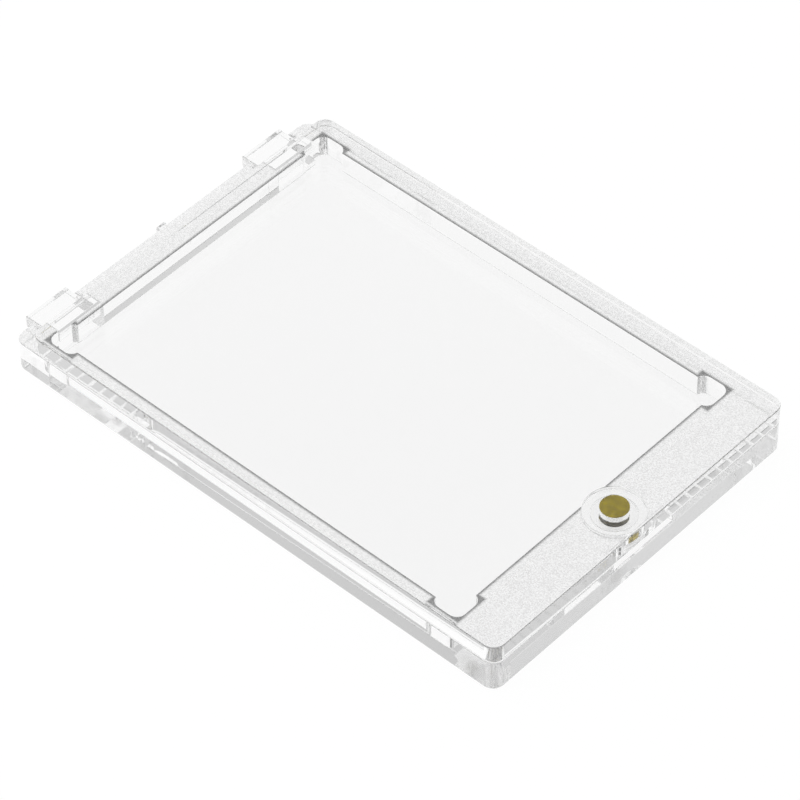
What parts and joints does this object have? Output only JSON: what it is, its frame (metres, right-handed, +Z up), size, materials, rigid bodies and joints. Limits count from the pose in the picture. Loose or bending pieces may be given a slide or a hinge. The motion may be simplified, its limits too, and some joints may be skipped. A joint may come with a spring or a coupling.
{
  "type": "trading card display case",
  "caption": "Clear trading card display case with a pivoting lid that closes over a card well by hidden magnets.",
  "frame": {"origin": "middle of the tray's underside, on the plane the case lies on, halfway along the tray without the arms", "axes": "+Z up out of the lid, +Y towards the hinge end, +X to the right as seen from the magnet end"},
  "size_m": [0.073, 0.1112, 0.0103],
  "materials": {
    "clear_polystyrene": "polished",
    "gilt_magnet": "plated",
    "nickel_magnet": "plated"
  },
  "bodies": {
    "tray": {"base_tray": "clear_polystyrene", "base_magnet": "nickel_magnet", "base_magnet_plug": "clear_polystyrene"},
    "lid_assembly": {"lid": "clear_polystyrene", "lid_magnet": "gilt_magnet", "lid_magnet_plug": "clear_polystyrene"}
  },
  "joints": [
    {"name": "lid_hinge", "type": "hinge", "parent": "tray", "child": "lid_assembly", "pos_m": [0, 0.0533, 0.0051], "axis": [-1, 0, 0], "range_deg": [0, 95]}
  ]
}
